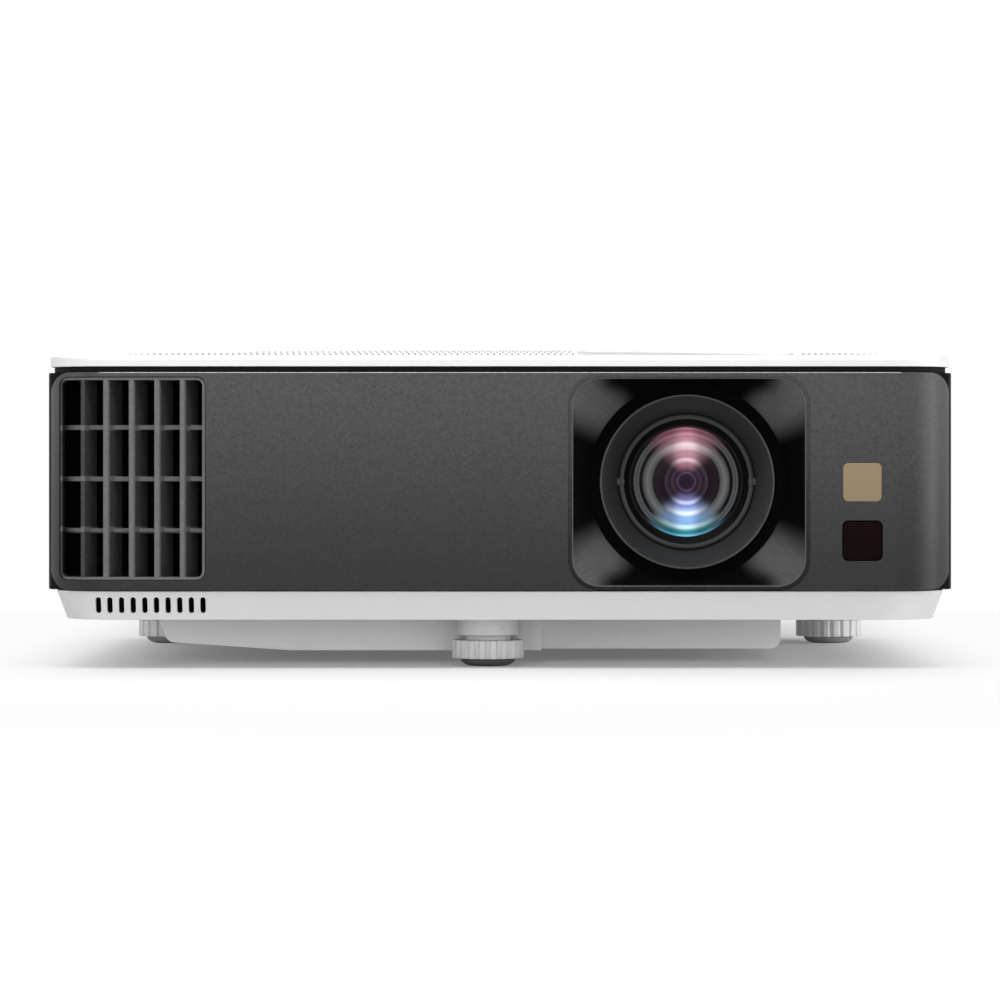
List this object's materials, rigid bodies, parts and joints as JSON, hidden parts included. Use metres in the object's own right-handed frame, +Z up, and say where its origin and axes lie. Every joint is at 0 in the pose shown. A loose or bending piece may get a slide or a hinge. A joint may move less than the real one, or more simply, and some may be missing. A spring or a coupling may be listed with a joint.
{
  "type": "home projector",
  "caption": "Home video projector with an offset front lens in a rounded square bezel, a vaned exhaust grille, a keypad on top and adjustable screw feet.",
  "frame": {"origin": "on the table under the middle of the casing", "axes": "+X to the right seen from the front, +Y to the back, +Z up"},
  "size_m": [0.312, 0.246, 0.1106],
  "materials": {
    "white_casing": "satin moulded",
    "dark_casing": "fine moulded grain",
    "front_grey": "satin with fine sparkle",
    "grille_black": "satin",
    "bezel_grey": "satin",
    "badge_metal": "satin",
    "ir_window": "polished",
    "clear_pipe": "frosted",
    "rear_plate": "satin",
    "socket_steel": "plated",
    "jack_plastic": "satin",
    "circuit_board": "solder mask",
    "lens_black": "satin",
    "ring_plastic": "satin",
    "lens_glass": "coated",
    "cast_alloy": "cast",
    "bare_alloy": "extruded",
    "tunnel_mirror": "polished",
    "wheel_mirror": "coated",
    "motor_steel": "plated",
    "lamp_plastic": "heat resistant",
    "reflector_mirror": "coated",
    "quartz": "clear",
    "fan_black": "moulded",
    "insert_brass": "turned",
    "key_grey": "satin",
    "foot_plastic": "moulded",
    "pad_rubber": "matte"
  },
  "bodies": {
    "root": {"top_cover": "white_casing", "lamp_cover": "white_casing", "bottom_case": "white_casing", "middle_case": "dark_casing", "front_panel": "front_grey", "exhaust_grille": "grille_black", "side_grille": "grille_black", "intake_grille": "grille_black", "lens_bezel": "bezel_grey", "badge_plate": "badge_metal", "front_ir_window": "ir_window", "top_ir_window": "ir_window", "light_pipes": "clear_pipe", "rear_plate": "rear_plate", "digital_sockets": "socket_steel", "serial_socket": "socket_steel", "audio_jacks": "jack_plastic", "power_inlet": "jack_plastic", "keypad_board": "circuit_board", "main_board": "circuit_board", "power_board": "circuit_board", "chip_board": "circuit_board", "lens_tube": "lens_black", "rear_lens": "lens_glass", "engine_housing": "cast_alloy", "heatsink": "bare_alloy", "light_tunnel": "tunnel_mirror", "wheel_motor": "motor_steel", "lamp_housing": "lamp_plastic", "lamp_reflector": "reflector_mirror", "lamp_burner": "quartz", "exhaust_fan_frame": "fan_black", "intake_fan_frame": "fan_black", "speaker": "fan_black", "mount_inserts": "insert_brass", "case_screws": "socket_steel"},
    "hood": {"lens_hood": "lens_black", "front_lens": "lens_glass"},
    "focus_ring": {"focus_ring": "ring_plastic"},
    "zoom_ring": {"zoom_ring": "ring_plastic"},
    "zoom_group": {"zoom_cell": "lens_black", "zoom_lens": "lens_glass"},
    "exhaust_rotor": {"exhaust_fan_rotor": "fan_black"},
    "intake_rotor": {"intake_fan_rotor": "fan_black"},
    "colour_wheel": {"colour_wheel": "wheel_mirror"},
    "ok_key": {"ok_key": "key_grey"},
    "up_key": {"up_key": "key_grey"},
    "down_key": {"down_key": "key_grey"},
    "left_key": {"left_key": "key_grey"},
    "right_key": {"right_key": "key_grey"},
    "power_key": {"power_key": "key_grey"},
    "source_key": {"source_key": "key_grey"},
    "menu_key": {"menu_key": "key_grey"},
    "back_key": {"back_key": "key_grey"},
    "front_pad": {"front_foot_pad": "pad_rubber"},
    "front_knob": {"front_foot_knob": "foot_plastic"},
    "left_pad": {"left_foot_pad": "pad_rubber"},
    "left_knob": {"left_foot_knob": "foot_plastic"},
    "right_pad": {"right_foot_pad": "pad_rubber"},
    "right_knob": {"right_foot_knob": "foot_plastic"}
  },
  "joints": [
    {"name": "focus_turn", "type": "hinge", "parent": "root", "child": "focus_ring", "pos_m": [0.0645, 0, 0.064], "axis": [0, 1, 0], "range_deg": [-25, 25]},
    {"name": "focus_slide", "type": "slide", "parent": "root", "child": "hood", "axis": [0, -1, 0], "range_m": [-0.00148, 0.00148]},
    {"name": "zoom_turn", "type": "hinge", "parent": "root", "child": "zoom_ring", "pos_m": [0.0645, 0, 0.064], "axis": [0, 1, 0], "range_deg": [-25, 25]},
    {"name": "zoom_slide", "type": "slide", "parent": "root", "child": "zoom_group", "axis": [0, -1, 0], "range_m": [-0.00296, 0.00296]},
    {"name": "exhaust_spin", "type": "hinge", "parent": "root", "child": "exhaust_rotor", "pos_m": [-0.119, -0.0985, 0.065], "axis": [0, 1, 0], "continuous": true},
    {"name": "intake_spin", "type": "hinge", "parent": "root", "child": "intake_rotor", "pos_m": [0.1405, 0.03, 0.065], "axis": [1, 0, 0], "continuous": true},
    {"name": "wheel_spin", "type": "hinge", "parent": "root", "child": "colour_wheel", "pos_m": [-0.003, 0, 0.047], "axis": [1, 0, 0], "continuous": true},
    {"name": "ok_press", "type": "slide", "parent": "root", "child": "ok_key", "axis": [0, 0, -1], "range_m": [0, 0.0008], "stiffness_N_per_m": 500, "springref_m": -0.0006},
    {"name": "up_press", "type": "slide", "parent": "root", "child": "up_key", "axis": [0, 0, -1], "range_m": [0, 0.0008], "stiffness_N_per_m": 500, "springref_m": -0.0006},
    {"name": "down_press", "type": "slide", "parent": "root", "child": "down_key", "axis": [0, 0, -1], "range_m": [0, 0.0008], "stiffness_N_per_m": 500, "springref_m": -0.0006},
    {"name": "left_press", "type": "slide", "parent": "root", "child": "left_key", "axis": [0, 0, -1], "range_m": [0, 0.0008], "stiffness_N_per_m": 500, "springref_m": -0.0006},
    {"name": "right_press", "type": "slide", "parent": "root", "child": "right_key", "axis": [0, 0, -1], "range_m": [0, 0.0008], "stiffness_N_per_m": 500, "springref_m": -0.0006},
    {"name": "power_press", "type": "slide", "parent": "root", "child": "power_key", "axis": [0, 0, -1], "range_m": [0, 0.0008], "stiffness_N_per_m": 500, "springref_m": -0.0006},
    {"name": "source_press", "type": "slide", "parent": "root", "child": "source_key", "axis": [0, 0, -1], "range_m": [0, 0.0008], "stiffness_N_per_m": 500, "springref_m": -0.0006},
    {"name": "menu_press", "type": "slide", "parent": "root", "child": "menu_key", "axis": [0, 0, -1], "range_m": [0, 0.0008], "stiffness_N_per_m": 500, "springref_m": -0.0006},
    {"name": "back_press", "type": "slide", "parent": "root", "child": "back_key", "axis": [0, 0, -1], "range_m": [0, 0.0008], "stiffness_N_per_m": 500, "springref_m": -0.0006},
    {"name": "front_foot_reach", "type": "slide", "parent": "root", "child": "front_pad", "axis": [0, 0, -1], "range_m": [-0.0014, 0.0116]},
    {"name": "front_foot_turn", "type": "hinge", "parent": "front_pad", "child": "front_knob", "pos_m": [-0.0042, -0.093, 0.006], "axis": [0, 0, 1], "range_deg": [-130, 1050]},
    {"name": "left_foot_reach", "type": "slide", "parent": "root", "child": "left_pad", "axis": [0, 0, -1], "range_m": [-0.0014, 0.0116]},
    {"name": "left_foot_turn", "type": "hinge", "parent": "left_pad", "child": "left_knob", "pos_m": [-0.1278, 0.082, 0.006], "axis": [0, 0, 1], "range_deg": [-130, 1050]},
    {"name": "right_foot_reach", "type": "slide", "parent": "root", "child": "right_pad", "axis": [0, 0, -1], "range_m": [-0.0014, 0.0116]},
    {"name": "right_foot_turn", "type": "hinge", "parent": "right_pad", "child": "right_knob", "pos_m": [0.1278, 0.082, 0.006], "axis": [0, 0, 1], "range_deg": [-130, 1050]}
  ],
  "couplings": [
    {"joint": "focus_turn", "follows": "focus_slide", "rad_per_m": 294.12},
    {"joint": "zoom_turn", "follows": "zoom_slide", "rad_per_m": 147.06},
    {"joint": "front_foot_turn", "follows": "front_foot_reach", "rad_per_m": 1570.8},
    {"joint": "left_foot_turn", "follows": "left_foot_reach", "rad_per_m": 1570.8},
    {"joint": "right_foot_turn", "follows": "right_foot_reach", "rad_per_m": 1570.8}
  ]
}
